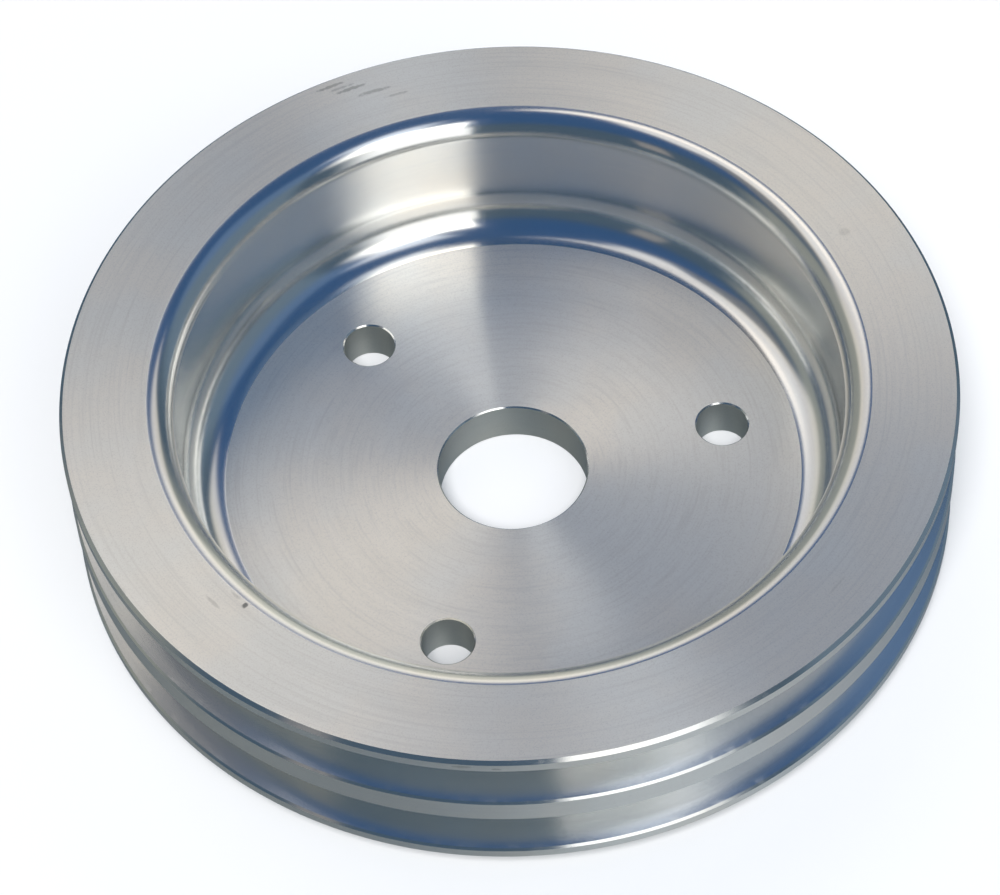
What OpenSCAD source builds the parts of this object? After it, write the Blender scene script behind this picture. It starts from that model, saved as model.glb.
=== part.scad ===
// Two-groove V-belt crankshaft pulley, turned and drilled from one piece.
// Z is the axis of rotation. The back face of the hub boss lies on Z = 0
// and the open, cupped front faces +Z. All lengths are millimetres.

/* [Rim] */
// Outside diameter over the belt lands
rim_d = 165.1; // [158:0.1:180]
// Width of the rim from its front face to its back face
rim_w = 31.75; // [31.2:0.05:34]
// 45 degree chamfer on the front outer edge
front_chamfer = 0.65; // [0.2:0.05:1.2]
// 45 degree chamfer on the back outer edge
back_chamfer = 0.45; // [0.2:0.05:0.8]

/* [Belt grooves] */
// Distance from the front face to the first groove, chamfer included
front_land_w = 2.48; // [2:0.02:3]
// Opening of each groove at the outside diameter
groove_w = 11.13; // [10:0.01:11.5]
// Width of the land between the two grooves
mid_land_w = 4.76; // [4:0.02:5.4]
// Included angle of each V groove
groove_angle = 38; // [34:1:40]
// Depth of each groove below the lands
groove_depth = 11; // [9:0.1:12.5]
// 45 degree broken edge on both sides of each groove
land_break = 0.4; // [0.1:0.05:0.7]

/* [Cup] */
// Diameter of the straight wall of the cup
cup_d = 123.6; // [112:0.1:126]
// Depth of the cup from the front face to the web
cup_depth = 27.57; // [24:0.01:28.5]
// Radius of the rounded lip
lip_r = 4.8; // [2:0.1:8]
// Radius of the fillet between the wall and the web
web_fillet_r = 7.3; // [3:0.1:12]

/* [Web and hub] */
// Overall height from the back of the hub boss to the front face
total_h = 36.5; // [35.5:0.05:40]
// Diameter of the boss that stands behind the rim
boss_d = 120; // [104:0.5:140]
// 45 degree chamfer on the edge of the boss
boss_chamfer = 0.5; // [0.2:0.1:1.5]
// Diameter of the centre bore
bore_d = 28.3; // [24:0.1:36]
// 45 degree chamfer at both ends of the centre bore
bore_chamfer = 0.25; // [0.1:0.05:1]

/* [Bolt holes] */
// Number of bolt holes
bolt_count = 3; // [3, 4, 6]
// Diameter of the bolt circle
bolt_circle_d = 81.8; // [70:0.1:92]
// Diameter of each bolt hole, a clearance hole for a 3/8 inch bolt
bolt_hole_d = 9.8; // [9.7:0.05:11]
// 45 degree chamfer at both ends of each bolt hole
bolt_chamfer = 0.25; // [0.1:0.05:0.8]

/* [Hidden] */
$fn = 240;
rim_r = rim_d / 2;
cup_r = cup_d / 2;
boss_r = boss_d / 2;
web_z = total_h - cup_depth;
rim_back_z = total_h - rim_w;
flank_run = groove_depth - land_break;
flank_rise = flank_run * tan(groove_angle / 2);
over = 1;

// V groove in section, its front edge at height z_front
module groove_section(z_front) {
    z_back = z_front - groove_w;
    polygon([
        [rim_r + over, z_front + over],
        [rim_r, z_front],
        [rim_r - land_break, z_front - land_break],
        [rim_r - groove_depth, z_front - land_break - flank_rise],
        [rim_r - groove_depth, z_back + land_break + flank_rise],
        [rim_r - land_break, z_back + land_break],
        [rim_r, z_back],
        [rim_r + over, z_back - over]
    ]);
}

// Rim, web and boss in section before the grooves and the cup are cut
module blank_section() {
    polygon([
        [0, 0],
        [boss_r - boss_chamfer, 0],
        [boss_r, boss_chamfer],
        [boss_r, rim_back_z],
        [rim_r - back_chamfer, rim_back_z],
        [rim_r, rim_back_z + back_chamfer],
        [rim_r, total_h - front_chamfer],
        [rim_r - front_chamfer, total_h],
        [0, total_h]
    ]);
}

// Cup in section: straight wall, filleted floor and rounded lip
module cup_section() {
    difference() {
        translate([0, web_z]) square([cup_r, cup_depth + over]);
        difference() {
            translate([cup_r - web_fillet_r, web_z - over])
                square([web_fillet_r + over, web_fillet_r + over]);
            translate([cup_r - web_fillet_r, web_z + web_fillet_r])
                circle(r = web_fillet_r);
        }
    }
    difference() {
        translate([cup_r - over, total_h - lip_r])
            square([lip_r + over, lip_r + over]);
        translate([cup_r + lip_r, total_h - lip_r]) circle(r = lip_r);
    }
}

// Round through hole in the web, chamfered at both ends
module web_hole(d, chamfer) {
    translate([0, 0, -over]) cylinder(d = d, h = web_z + 2 * over);
    translate([0, 0, -over])
        cylinder(r1 = d / 2 + chamfer + over, r2 = d / 2, h = chamfer + over);
    translate([0, 0, web_z - chamfer])
        cylinder(r1 = d / 2, r2 = d / 2 + chamfer + over, h = chamfer + over);
}

// The whole pulley, one piece of aluminium
module crankshaft_pulley() {
    color([0.76, 0.75, 0.73])
    difference() {
        rotate_extrude() difference() {
            blank_section();
            cup_section();
            groove_section(total_h - front_land_w);
            groove_section(total_h - front_land_w - groove_w - mid_land_w);
        }
        web_hole(bore_d, bore_chamfer);
        for (i = [0 : bolt_count - 1])
            rotate([0, 0, i * 360 / bolt_count])
                translate([bolt_circle_d / 2, 0, 0])
                    web_hole(bolt_hole_d, bolt_chamfer);
    }
}

crankshaft_pulley();
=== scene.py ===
import math

import bmesh
import bpy
from mathutils import Matrix, Vector
from mathutils.geometry import delaunay_2d_cdt


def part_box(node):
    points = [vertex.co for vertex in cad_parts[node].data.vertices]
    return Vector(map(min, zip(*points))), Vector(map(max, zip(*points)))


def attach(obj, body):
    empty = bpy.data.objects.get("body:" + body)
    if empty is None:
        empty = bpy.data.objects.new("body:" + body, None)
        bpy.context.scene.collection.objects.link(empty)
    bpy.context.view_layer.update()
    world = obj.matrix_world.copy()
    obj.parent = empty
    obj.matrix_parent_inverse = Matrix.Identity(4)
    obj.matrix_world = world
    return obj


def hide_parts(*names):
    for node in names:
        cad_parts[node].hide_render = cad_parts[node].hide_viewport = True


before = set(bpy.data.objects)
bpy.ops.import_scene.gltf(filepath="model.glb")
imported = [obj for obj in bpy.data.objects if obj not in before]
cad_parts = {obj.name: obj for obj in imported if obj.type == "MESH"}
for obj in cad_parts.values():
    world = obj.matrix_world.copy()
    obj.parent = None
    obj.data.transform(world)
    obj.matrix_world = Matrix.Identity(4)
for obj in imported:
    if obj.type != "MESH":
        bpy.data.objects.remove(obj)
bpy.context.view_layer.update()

NODE = "crankshaft_pulley"
corner_lo, corner_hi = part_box(NODE)
MM = 0.001

# ---------------------------------------------------------------- sizes, in mm
# The rim radius and the height are read from the frame, the rest are the
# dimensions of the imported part.
RIM_R = corner_hi.x / MM
TOTAL_H = corner_hi.z / MM
RIM_W = 31.75
FRONT_CHAMFER, BACK_CHAMFER = 0.65, 0.45
FRONT_LAND, GROOVE_W, MID_LAND = 2.48, 11.13, 4.76
GROOVE_DEPTH, HALF_ANGLE, BREAK = 11.0, math.radians(19), 0.4
CUP_R, CUP_DEPTH, LIP_R, FILLET_R = 61.8, 27.57, 4.8, 7.3
BOSS_R, BOSS_CHAMFER = 60.0, 0.5
BORE_R, BORE_CHAMFER = 14.15, 0.25
BOLT_COUNT, BOLT_CIRCLE_R, BOLT_R, BOLT_CHAMFER = 3, 40.9, 4.9, 0.25
WEB_Z = TOTAL_H - CUP_DEPTH
RIM_BACK_Z = TOTAL_H - RIM_W

SEGMENTS = 600
ARC_STEPS = 18

# The photograph's azimuth zero is turned from the first bolt hole by this much.
PHOTO_TURN = math.radians(-10.397)


# ---------------------------------------------------------------- camera
def photo_dir(azimuth, elevation):
    """Unit vector for an azimuth (270 is towards the camera) and elevation in degrees."""
    a, e = math.radians(azimuth) + PHOTO_TURN, math.radians(elevation)
    return Vector((math.cos(e) * math.cos(a), math.cos(e) * math.sin(a), math.sin(e)))


def make_camera():
    centre = Vector((0, 0, TOTAL_H * MM))
    eye = centre + photo_dir(270, 52.6282) * (8.38095 * RIM_R * MM)
    forward = (centre - eye).normalized()
    right = photo_dir(0, 0)
    up = right.cross(forward)
    forward = (forward - 0.00314060 * right - 0.01806647 * up).normalized()
    right = forward.cross(up).normalized()
    up = right.cross(forward)
    roll = math.radians(-3.252243)
    right, up = (
        right * math.cos(roll) + up * math.sin(roll),
        up * math.cos(roll) - right * math.sin(roll),
    )
    cam = bpy.data.cameras.new("camera")
    cam.sensor_width = 36
    cam.lens = 3771.351 / 1000 * 36
    cam.clip_start, cam.clip_end = 0.01, 20
    ob = bpy.data.objects.new("camera", cam)
    bpy.context.scene.collection.objects.link(ob)
    m = Matrix((right, up, -forward)).transposed().to_4x4()
    m.translation = eye
    ob.matrix_world = m
    bpy.context.scene.camera = ob


make_camera()


# ---------------------------------------------------------------- profile
# Every stretch of the section is a list of (r, z, nr, nz): the point and the
# outward normal there. Zones name the finish.
ZONES = (
    "turned_face",
    "polished_cup",
    "groove_flank",
    "belt_land",
    "broken_edge",
    "drilled_bore",
    "turned_back",
)
T, P, G, L, E, D, B = range(7)


def straight(p, q, zone, steps=1):
    """From p to q with the metal on the left, so the normal points right."""
    dr, dz = q[0] - p[0], q[1] - p[1]
    n = math.hypot(dr, dz)
    nr, nz = dz / n, -dr / n
    pts = []
    for i in range(steps + 1):
        t = i / steps
        pts.append((p[0] + dr * t, p[1] + dz * t, nr, nz))
    return zone, pts


def arc(cr, cz, radius, a0, a1, zone, steps, hollow):
    pts = []
    for i in range(steps + 1):
        a = math.radians(a0 + (a1 - a0) * i / steps)
        c, s = math.cos(a), math.sin(a)
        sign = -1 if hollow else 1
        pts.append((cr + radius * c, cz + radius * s, sign * c, sign * s))
    return zone, pts


def groove(z_front):
    """One V groove, walked from its back edge to its front edge."""
    z_back = z_front - GROOVE_W
    run = GROOVE_DEPTH - BREAK
    rise = run * math.tan(HALF_ANGLE)
    low, high = z_back + BREAK + rise, z_front - BREAK - rise
    return [
        straight((RIM_R, z_back), (RIM_R - BREAK, z_back + BREAK), E),
        straight((RIM_R - BREAK, z_back + BREAK), (RIM_R - GROOVE_DEPTH, low), G, 4),
        straight((RIM_R - GROOVE_DEPTH, low), (RIM_R - GROOVE_DEPTH, high), G),
        straight((RIM_R - GROOVE_DEPTH, high), (RIM_R - BREAK, z_front - BREAK), G, 4),
        straight((RIM_R - BREAK, z_front - BREAK), (RIM_R, z_front), E),
    ]


front_top = TOTAL_H - FRONT_LAND
back_top = front_top - GROOVE_W - MID_LAND
floor_r = CUP_R - FILLET_R

# From the edge of the boss's back face, outwards and up round the rim, and
# down the cup to the edge of the web's front face.
profile = [
    straight((BOSS_R - BOSS_CHAMFER, 0), (BOSS_R, BOSS_CHAMFER), E),
    straight((BOSS_R, BOSS_CHAMFER), (BOSS_R, RIM_BACK_Z), B),
    straight((BOSS_R, RIM_BACK_Z), (RIM_R - BACK_CHAMFER, RIM_BACK_Z), B, 4),
    straight(
        (RIM_R - BACK_CHAMFER, RIM_BACK_Z), (RIM_R, RIM_BACK_Z + BACK_CHAMFER), E
    ),
    straight((RIM_R, RIM_BACK_Z + BACK_CHAMFER), (RIM_R, back_top - GROOVE_W), L),
    *groove(back_top),
    straight((RIM_R, back_top), (RIM_R, front_top - GROOVE_W), L),
    *groove(front_top),
    straight((RIM_R, front_top), (RIM_R, TOTAL_H - FRONT_CHAMFER), L),
    straight((RIM_R, TOTAL_H - FRONT_CHAMFER), (RIM_R - FRONT_CHAMFER, TOTAL_H), E),
    straight((RIM_R - FRONT_CHAMFER, TOTAL_H), (CUP_R + LIP_R, TOTAL_H), T, 6),
    arc(CUP_R + LIP_R, TOTAL_H - LIP_R, LIP_R, 90, 180, P, ARC_STEPS, False),
    straight((CUP_R, TOTAL_H - LIP_R), (CUP_R, WEB_Z + FILLET_R), P, 6),
    arc(floor_r, WEB_Z + FILLET_R, FILLET_R, 0, -90, P, ARC_STEPS, True),
]


# ---------------------------------------------------------------- mesh
def build_pulley():
    bm = bmesh.new()
    normals = []

    def ring(r, z, count, cx=0.0, cy=0.0):
        return [
            bm.verts.new(
                (
                    (cx + r * math.cos(2 * math.pi * i / count)) * MM,
                    (cy + r * math.sin(2 * math.pi * i / count)) * MM,
                    z * MM,
                )
            )
            for i in range(count)
        ]

    def band(lower, upper, n0, n1, zone, count):
        """Quads between two rings; n0 and n1 are (nr, nz) on each."""
        for i in range(count):
            j = (i + 1) % count
            f = bm.faces.new((lower[i], lower[j], upper[j], upper[i]))
            f.material_index = zone
            f.smooth = True
            for k, n in ((i, n0), (j, n0), (j, n1), (i, n1)):
                a = 2 * math.pi * k / count
                normals.append((n[0] * math.cos(a), n[0] * math.sin(a), n[1]))

    # Rim and cup
    start = ring(profile[0][1][0][0], profile[0][1][0][1], SEGMENTS)
    lower = start
    for zone, pts in profile:
        for p, q in zip(pts, pts[1:]):
            upper = ring(q[0], q[1], SEGMENTS)
            band(lower, upper, p[2:], q[2:], zone, SEGMENTS)
            lower = upper
    back_outer, web_outer = start, lower

    # Bore and bolt holes: their walls face the hole's own axis
    def hole(cx, cy, radius, chamfer, count):
        loops = [
            ring(radius + chamfer, 0, count, cx, cy),
            ring(radius, chamfer, count, cx, cy),
            ring(radius, WEB_Z / 2, count, cx, cy),
            ring(radius, WEB_Z - chamfer, count, cx, cy),
            ring(radius + chamfer, WEB_Z, count, cx, cy),
        ]
        s = math.sqrt(0.5)
        slopes = [((-s, -s), E), ((-1, 0), D), ((-1, 0), D), ((-s, s), E)]
        for (a, b), (n, zone) in zip(zip(loops, loops[1:]), slopes):
            band(b, a, n, n, zone, count)
        return loops[0], loops[-1]

    centres = [(0.0, 0.0, BORE_R + BORE_CHAMFER)]
    holes = [hole(0, 0, BORE_R, BORE_CHAMFER, 240)]
    for i in range(BOLT_COUNT):
        a = 2 * math.pi * i / BOLT_COUNT
        cx, cy = BOLT_CIRCLE_R * math.cos(a), BOLT_CIRCLE_R * math.sin(a)
        holes.append(hole(cx, cy, BOLT_R, BOLT_CHAMFER, 96))
        centres.append((cx, cy, BOLT_R + BOLT_CHAMFER))

    # The two faces of the web: flat, with four holes in each
    def flat(outer, inners, z, up, zone, outer_r):
        loose = []
        for k in range(1, 9):
            r = 14.4 + (outer_r - 14.4) * k / 9
            count = max(60, int(r * 6))
            for i in range(count):
                a = 2 * math.pi * (i + 0.5 * (k % 2)) / count
                x, y = r * math.cos(a), r * math.sin(a)
                if all(math.hypot(x - c[0], y - c[1]) > c[2] + 0.9 for c in centres):
                    loose.append(bm.verts.new((x * MM, y * MM, z * MM)))
        loops = [outer, *inners]
        verts = [v for loop in loops for v in loop] + loose
        edges, owner = [], []
        for k, loop in enumerate(loops):
            base, n = len(owner), len(loop)
            edges += [(base + i, base + (i + 1) % n) for i in range(n)]
            owner += [k] * n
        owner += [0] * len(loose)
        flat_co = [Vector((v.co.x / MM, v.co.y / MM)) for v in verts]
        made = delaunay_2d_cdt(flat_co, edges, [], 0, 1e-6)
        source = [o[0] for o in made[3]]
        for tri in made[2]:
            ids = [source[i] for i in tri]
            if owner[ids[0]] > 0 and len({owner[i] for i in ids}) == 1:
                continue  # inside a hole
            a, b, c = (flat_co[i] for i in ids)
            turn = (b.x - a.x) * (c.y - a.y) - (b.y - a.y) * (c.x - a.x)
            if (turn > 0) != up:
                ids.reverse()
            f = bm.faces.new([verts[i] for i in ids])
            f.material_index = zone
            f.smooth = True
            normals.extend([(0, 0, 1 if up else -1)] * 3)

    flat(web_outer, [h[1] for h in holes], WEB_Z, True, T, floor_r)
    flat(back_outer, [h[0] for h in holes], 0, False, B, BOSS_R - BOSS_CHAMFER)

    mesh = bpy.data.meshes.new("pulley_body")
    bm.to_mesh(mesh)
    open_edges = sum(1 for e in bm.edges if not e.is_manifold)
    bm.free()
    if open_edges:
        raise RuntimeError(f"{open_edges} edges aren't closed")
    mesh.normals_split_custom_set(normals)
    ob = bpy.data.objects.new("pulley_body", mesh)
    bpy.context.scene.collection.objects.link(ob)
    return ob


pulley = build_pulley()


# ---------------------------------------------------------------- materials
class Nodes:
    """Short calls for building a node tree."""

    def __init__(self, tree):
        self.tree = tree
        tree.nodes.clear()

    def add(self, kind, inputs=None, **settings):
        node = self.tree.nodes.new(kind)
        for k, v in settings.items():
            setattr(node, k, v)
        for k, v in (inputs or {}).items():
            if isinstance(v, bpy.types.NodeSocket):
                self.tree.links.new(v, node.inputs[k])
            else:
                node.inputs[k].default_value = v
        return node

    def math(self, op, a, b=0.0, c=0.0, clamp=False):
        n = self.add("ShaderNodeMath", {0: a, 1: b, 2: c}, operation=op)
        n.use_clamp = clamp
        return n.outputs[0]

    def vmath(self, op, a, b=(0, 0, 0), scale=None):
        n = self.add("ShaderNodeVectorMath", {0: a, 1: b}, operation=op)
        if scale is not None:
            n.inputs["Scale"].default_value = scale
        return n.outputs["Value" if op in ("LENGTH", "DOT_PRODUCT") else "Vector"]

    def step(self, value, low, high, to_low=0.0, to_high=1.0, smooth=True):
        n = self.add(
            "ShaderNodeMapRange",
            {0: value, 1: low, 2: high, 3: to_low, 4: to_high},
            interpolation_type="SMOOTHSTEP" if smooth else "LINEAR",
        )
        return n.outputs[0]

    def mix(self, factor, a, b, blend="MIX"):
        n = self.add("ShaderNodeMix", data_type="RGBA", blend_type=blend)
        for socket, v in ((n.inputs[0], factor), (n.inputs[6], a), (n.inputs[7], b)):
            if isinstance(v, bpy.types.NodeSocket):
                self.tree.links.new(v, socket)
            else:
                socket.default_value = (*v, 1) if isinstance(v, tuple) else v
        return n.outputs[2]


# Light wear: where a dull rub, a nick or a few specks lie on the metal, given by
# the photograph's azimuth, the radius and the height in mm, with the half sizes
# round, across and up, how much duller the metal is, and how rough.
MARKS = (
    (113.0, 80.4, 36.5, 2.2, 0.40, 0.8, 0.42, 0.12),
    (110.3, 78.2, 36.5, 2.4, 0.45, 0.8, 0.46, 0.12),
    (107.6, 75.8, 36.5, 2.4, 0.45, 0.8, 0.38, 0.10),
    (104.5, 73.5, 36.5, 1.8, 0.35, 0.8, 0.26, 0.08),
    (111.6, 79.2, 36.5, 1.8, 0.35, 0.8, 0.30, 0.08),
    (224.0, 67.4, 36.5, 0.45, 0.6, 0.8, 0.55, 0.20),
    (220.4, 70.9, 36.5, 1.6, 0.35, 0.8, 0.12, 0.06),
    (221.8, 67.1, 36.5, 1.1, 0.3, 0.8, 0.12, 0.06),
    (115.2, 83.0, 36.5, 1.2, 0.3, 0.8, 0.10, 0.05),
    (262.0, 82.5, 35.2, 1.3, 1.0, 0.5, 0.25, 0.12),
    (266.0, 82.5, 34.7, 0.7, 1.0, 0.3, 0.25, 0.12),
    (25.0, 71.5, 36.5, 0.8, 1.2, 0.8, 0.10, 0.06),
    (318.0, 74.6, 36.5, 2.2, 0.25, 0.8, 0.10, 0.05),
)


def metal(
    name, colour, rough, aniso, ring_mm, ring_height, rough_vary, tint=0.04, metallic=1.0
):
    """Turned aluminium. The lay of the cut runs round the axis on every surface."""
    mat = bpy.data.materials.new(name)
    mat.use_nodes = True
    n = Nodes(mat.node_tree)
    at = n.add("ShaderNodeTexCoord").outputs["Object"]
    sep = n.add("ShaderNodeSeparateXYZ", {0: at})
    x, y, z = sep.outputs
    flat = n.add("ShaderNodeCombineXYZ", {0: x, 1: y, 2: 0.0}).outputs[0]
    r = n.vmath("LENGTH", flat)
    unit = n.add("ShaderNodeSeparateXYZ", {0: n.vmath("NORMALIZE", flat)})
    cos_a, sin_a = unit.outputs[0], unit.outputs[1]

    def rings(period_mm, round_count, detail=2.0):
        """Noise that changes every period_mm across the lay and slowly along it."""
        k = 1 / (period_mm * MM)
        v = n.add(
            "ShaderNodeCombineXYZ",
            {
                0: n.math("MULTIPLY", r, k),
                1: n.math("MULTIPLY", z, k),
                2: n.math("MULTIPLY", cos_a, round_count),
            },
        )
        t = n.add(
            "ShaderNodeTexNoise",
            {
                "Vector": v.outputs[0],
                "W": n.math("MULTIPLY", sin_a, round_count),
                "Scale": 1.0,
                "Detail": detail,
                "Roughness": 0.6,
            },
            noise_dimensions="4D",
        )
        return t.outputs["Fac"]

    def blotch(size_mm, detail=3.0):
        t = n.add(
            "ShaderNodeTexNoise",
            {"Vector": at, "Scale": 1 / (size_mm * MM), "Detail": detail},
            noise_dimensions="3D",
        )
        return t.outputs["Fac"]

    fine = rings(ring_mm, 3.0)
    broad = rings(ring_mm * 6, 1.5)
    cloud = blotch(26.0)

    warm = tuple(c * f for c, f in zip(colour, (1.0, 0.985, 0.955)))
    cool = tuple(c * f for c, f in zip(colour, (0.975, 0.995, 1.0)))
    dull = tuple(c * (1 - tint * 2) for c in colour)
    base = n.mix(n.step(cloud, 0.38, 0.62), warm, cool)
    base = n.mix(n.step(fine, 0.45, 0.75, 0.0, 0.6), base, dull)
    grain = blotch(ring_mm * 0.55, 2.0)
    base = n.mix(n.step(grain, 0.45, 0.75, 0.0, 0.7), base, dull)

    # Handling marks, worn edges and a sprinkle of fine specks
    angle = n.math("ARCTAN2", y, x)
    ragged = n.math("MULTIPLY", n.math("SUBTRACT", blotch(0.9, 4.0), 0.5), 1.6)
    marked, rubbed = 0.0, 0.0
    for az, mr, mz, da, dr, dz, dulls, roughs in MARKS if "bore" not in name else ():
        off = n.math(
            "WRAP",
            n.math("SUBTRACT", angle, math.radians(az) + PHOTO_TURN),
            math.pi,
            -math.pi,
        )
        gap = n.add(
            "ShaderNodeCombineXYZ",
            {
                0: n.math("DIVIDE", off, math.radians(da)),
                1: n.math("DIVIDE", n.math("SUBTRACT", r, mr * MM), dr * MM),
                2: n.math("DIVIDE", n.math("SUBTRACT", z, mz * MM), dz * MM),
            },
        )
        away = n.math("ADD", n.vmath("LENGTH", gap.outputs[0]), ragged)
        here = n.step(away, 0.55, 1.15, 1.0, 0.0)
        marked = n.math("MAXIMUM", marked, n.math("MULTIPLY", here, dulls))
        rubbed = n.math("MAXIMUM", rubbed, n.math("MULTIPLY", here, roughs))
    specks = n.step(blotch(0.45, 1.0), 0.735, 0.77)
    marked = n.math("MAXIMUM", marked, n.math("MULTIPLY", specks, 0.12))
    edge_gap = n.math("ABSOLUTE", n.math("SUBTRACT", r, (RIM_R - 0.5) * MM))
    worn = n.math(
        "MULTIPLY",
        n.step(edge_gap, 0.1 * MM, 0.9 * MM, 1.0, 0.0),
        n.step(blotch(3.0, 4.0), 0.5, 0.7),
    )
    rubbed = n.math("MAXIMUM", rubbed, n.math("MULTIPLY", worn, 0.08))
    base = n.mix(marked, base, (0.10, 0.10, 0.095))

    rough_now = n.math(
        "ADD",
        n.math("ADD", rubbed, rough),
        n.math(
            "ADD",
            n.math("MULTIPLY", n.math("SUBTRACT", broad, 0.5), rough_vary),
            n.math("MULTIPLY", n.math("SUBTRACT", cloud, 0.5), rough_vary * 0.6),
        ),
        clamp=True,
    )
    bump = n.add(
        "ShaderNodeBump",
        {"Height": fine, "Strength": 1.0, "Distance": ring_height * MM},
    )
    shader = n.add(
        "ShaderNodeBsdfPrincipled",
        {
            "Base Color": base,
            "Metallic": metallic,
            "Roughness": rough_now,
            "Normal": bump.outputs[0],
            "Anisotropic": aniso,
            "Anisotropic Rotation": 0.25,
            "Tangent": n.add(
                "ShaderNodeTangent", direction_type="RADIAL", axis="Z"
            ).outputs[0],
        },
    )
    out = n.add("ShaderNodeOutputMaterial", {"Surface": shader.outputs[0]})
    return mat


ALU = (0.90, 0.895, 0.88)
for mat in (
    metal("turned_face", (0.97, 0.94, 0.89), 0.35, 0.95, 0.5, 0.0014, 0.10, 0.08, 0.92),
    metal("polished_cup", ALU, 0.145, 0.85, 0.8, 0.0004, 0.04, 0.03),
    metal("groove_flank", ALU, 0.16, 0.85, 0.7, 0.0006, 0.05, 0.05),
    metal("belt_land", (0.69, 0.70, 0.69), 0.55, 0.5, 0.4, 0.002, 0.06, 0.04, 0.93),
    metal("broken_edge", ALU, 0.16, 0.7, 0.6, 0.0004, 0.04),
    metal("drilled_bore", (0.50, 0.52, 0.50), 0.58, 0.2, 0.5, 0.003, 0.08, 0.04, 0.85),
    metal("turned_back", ALU, 0.36, 1.0, 0.6, 0.0015, 0.06),
):
    pulley.data.materials.append(mat)

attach(pulley, "root")
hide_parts(NODE)


# ---------------------------------------------------------------- stage
def make_floor():
    bm = bmesh.new()
    size, steps = 3.0, 24
    rows = [
        [
            bm.verts.new(
                (size * (2 * i / steps - 1), size * (2 * j / steps - 1), -0.00005)
            )
            for i in range(steps + 1)
        ]
        for j in range(steps + 1)
    ]
    for j in range(steps):
        for i in range(steps):
            bm.faces.new(
                (rows[j][i], rows[j][i + 1], rows[j + 1][i + 1], rows[j + 1][i])
            )
    mesh = bpy.data.meshes.new("studio_floor")
    bm.to_mesh(mesh)
    bm.free()
    ob = bpy.data.objects.new("studio_floor", mesh)
    bpy.context.scene.collection.objects.link(ob)
    mat = bpy.data.materials.new("studio_floor")
    mat.use_nodes = True
    n = Nodes(mat.node_tree)
    shader = n.add(
        "ShaderNodeBsdfDiffuse", {"Color": (0.88, 0.88, 0.88, 1), "Roughness": 0.0}
    )
    n.add("ShaderNodeOutputMaterial", {"Surface": shader.outputs[0]})
    mesh.materials.append(mat)
    ob.visible_glossy = False
    return ob


floor = make_floor()


# ---------------------------------------------------------------- light
# The studio is a dim blue-grey room with soft boxes. Each box is given by its
# azimuth and elevation range as seen from the pulley (270 is the camera's
# side), the width of its soft edges (left, right, lower, upper) in degrees,
# and its brightness.
ROOM_ABOVE = (0.037, 0.092, 0.212)
ROOM_LOW_ABOVE = (0.066, 0.105, 0.150)
ROOM_BELOW = (0.062, 0.105, 0.150)
SOFT_BOXES = (
    # name, azimuths, elevations, edges (left, right, lower, upper), colour
    ("tall_white", (276.5, 310), (-40, 36), (0.6, 18, 12, 12), (1.16, 1.14, 1.10)),
    ("tall_white_top", (279, 319), (36, 61), (0.8, 18, 12, 8), (2.25, 2.20, 2.05)),
    ("white_overhead", (300, 338), (60, 78), (10, 14, 8, 10), (0.74, 0.77, 0.80)),
    ("cream_window", (95, 153), (49, 77), (4, 6, 6, 4), (0.76, 0.70, 0.59)),
    ("cream_tip", (150, 174), (68, 77), (6, 5, 3, 4), (0.66, 0.62, 0.54)),
    ("cream_core", (95, 118), (54, 76), (4, 12, 8, 6), (0.46, 0.40, 0.33)),
    ("far_warm", (49, 150), (31, 49), (6, 14, 10, 5), (0.60, 0.54, 0.45)),
    ("left_high", (146, 178), (42, 66), (10, 6, 8, 8), (0.13, 0.09, 0.00)),
    ("lamp", (175.5, 185.5), (62, 73), (2, 1, 6, 3), (0.10, 0.08, 0.03)),
    ("far_strip", (66, 96), (12, 44), (8, 12, 10, 10), (0.31, 0.29, 0.25)),
    ("far_low", (55, 192), (0, 33), (20, 20, 10, 10), (0.20, 0.18, 0.12)),
    ("right_side", (330, 395), (-5, 60), (10, 20, 10, 10), (0.07, 0.09, 0.11)),
    ("right_low", (304, 372), (-62, -5), (16, 20, 20, 10), (0.30, 0.30, 0.32)),
    ("left_low", (170, 216), (-60, -5), (14, 26, 16, 10), (0.12, 0.10, 0.06)),
    ("small_warm", (212.5, 220.5), (-60, -24), (1.5, 1.5, 16, 4), (0.07, 0.06, 0.04)),
    ("small_warm_top", (218, 228), (16, 36), (2, 2, 8, 8), (0.20, 0.16, 0.12)),
    ("table_glow", (0, 360), (-95, -50), (1, 1, 1, 16), (0.28, 0.27, 0.24)),
)


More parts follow.
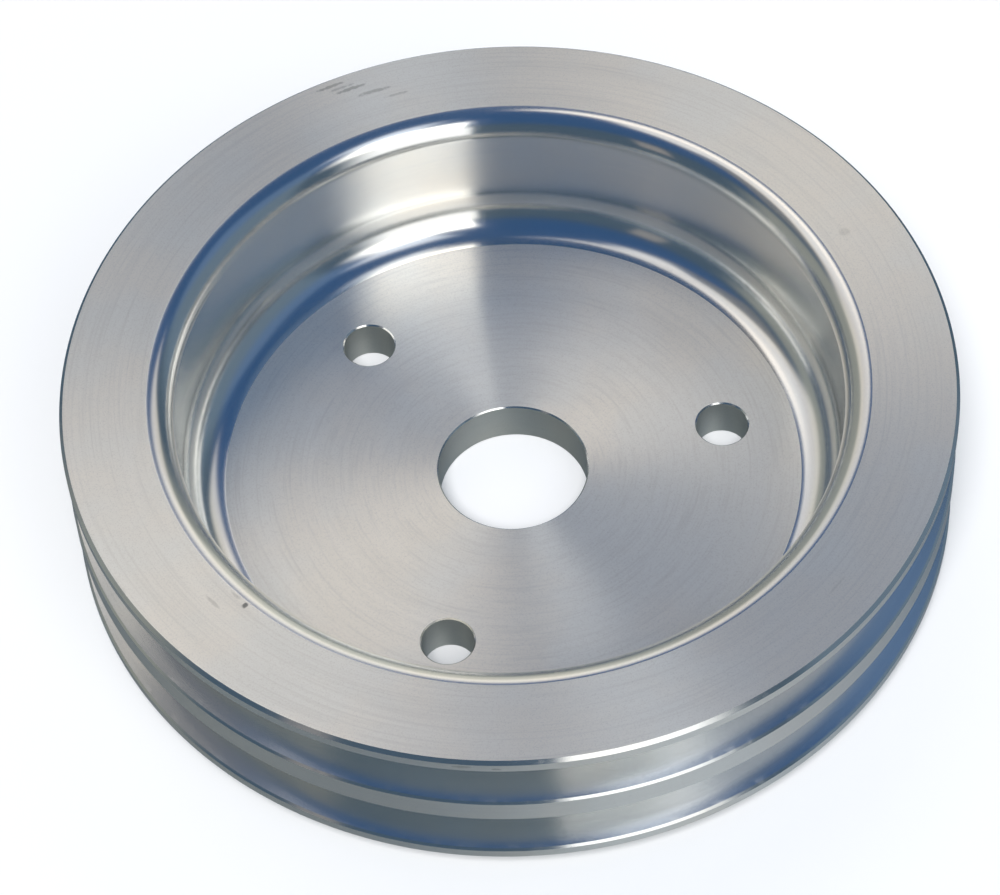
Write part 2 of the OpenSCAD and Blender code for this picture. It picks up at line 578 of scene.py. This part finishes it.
def make_world():
    world = bpy.data.worlds.new("studio")
    bpy.context.scene.world = world
    world.use_nodes = True
    n = Nodes(world.node_tree)
    sep = n.add(
        "ShaderNodeSeparateXYZ", {0: n.add("ShaderNodeTexCoord").outputs["Generated"]}
    )
    deg = 180 / math.pi
    azimuth = n.math("MULTIPLY", n.math("ARCTAN2", sep.outputs[1], sep.outputs[0]), deg)
    elevation = n.math("MULTIPLY", n.math("ARCSINE", sep.outputs[2]), deg)

    def edge(value, at, width, rising=True):
        a, b = (0.0, 1.0) if rising else (1.0, 0.0)
        return n.step(value, at - width / 2, at + width / 2, a, b)

    total = n.mix(edge(elevation, -4, 8), ROOM_BELOW, ROOM_LOW_ABOVE)
    total = n.mix(edge(elevation, 42, 20), total, ROOM_ABOVE)
    for _, az, el, soft, colour in SOFT_BOXES:
        mask = n.math(
            "MULTIPLY",
            edge(elevation, el[0], soft[2]),
            edge(elevation, el[1], soft[3], False),
        )
        if az[1] - az[0] < 360:
            middle = (az[0] + az[1]) / 2 + math.degrees(PHOTO_TURN)
            half = (az[1] - az[0]) / 2
            off = n.math("WRAP", n.math("SUBTRACT", azimuth, middle), 180.0, -180.0)
            mask = n.math("MULTIPLY", mask, edge(off, -half, soft[0]))
            mask = n.math("MULTIPLY", mask, edge(off, half, soft[1], False))
        total = n.mix(mask, total, colour, "ADD")
    back = n.add("ShaderNodeBackground", {"Color": total, "Strength": 1.0})
    n.add("ShaderNodeOutputWorld", {"Surface": back.outputs[0]})
    world.cycles.sampling_method = "MANUAL"
    world.cycles.sample_map_resolution = 1024


def make_floor_light():
    """One broad soft light for the floor, from the camera's side. The metal is lit by the soft boxes only."""
    light = bpy.data.lights.new("floor_light", "SUN")
    light.energy = 2.85
    light.angle = math.radians(24)
    ob = bpy.data.objects.new("floor_light", light)
    bpy.context.scene.collection.objects.link(ob)
    ob.rotation_mode = "QUATERNION"
    ob.rotation_quaternion = photo_dir(262, 60).to_track_quat("Z", "Y")
    ob.visible_glossy = False


make_world()
make_floor_light()
bpy.context.scene.view_settings.view_transform = "Standard"
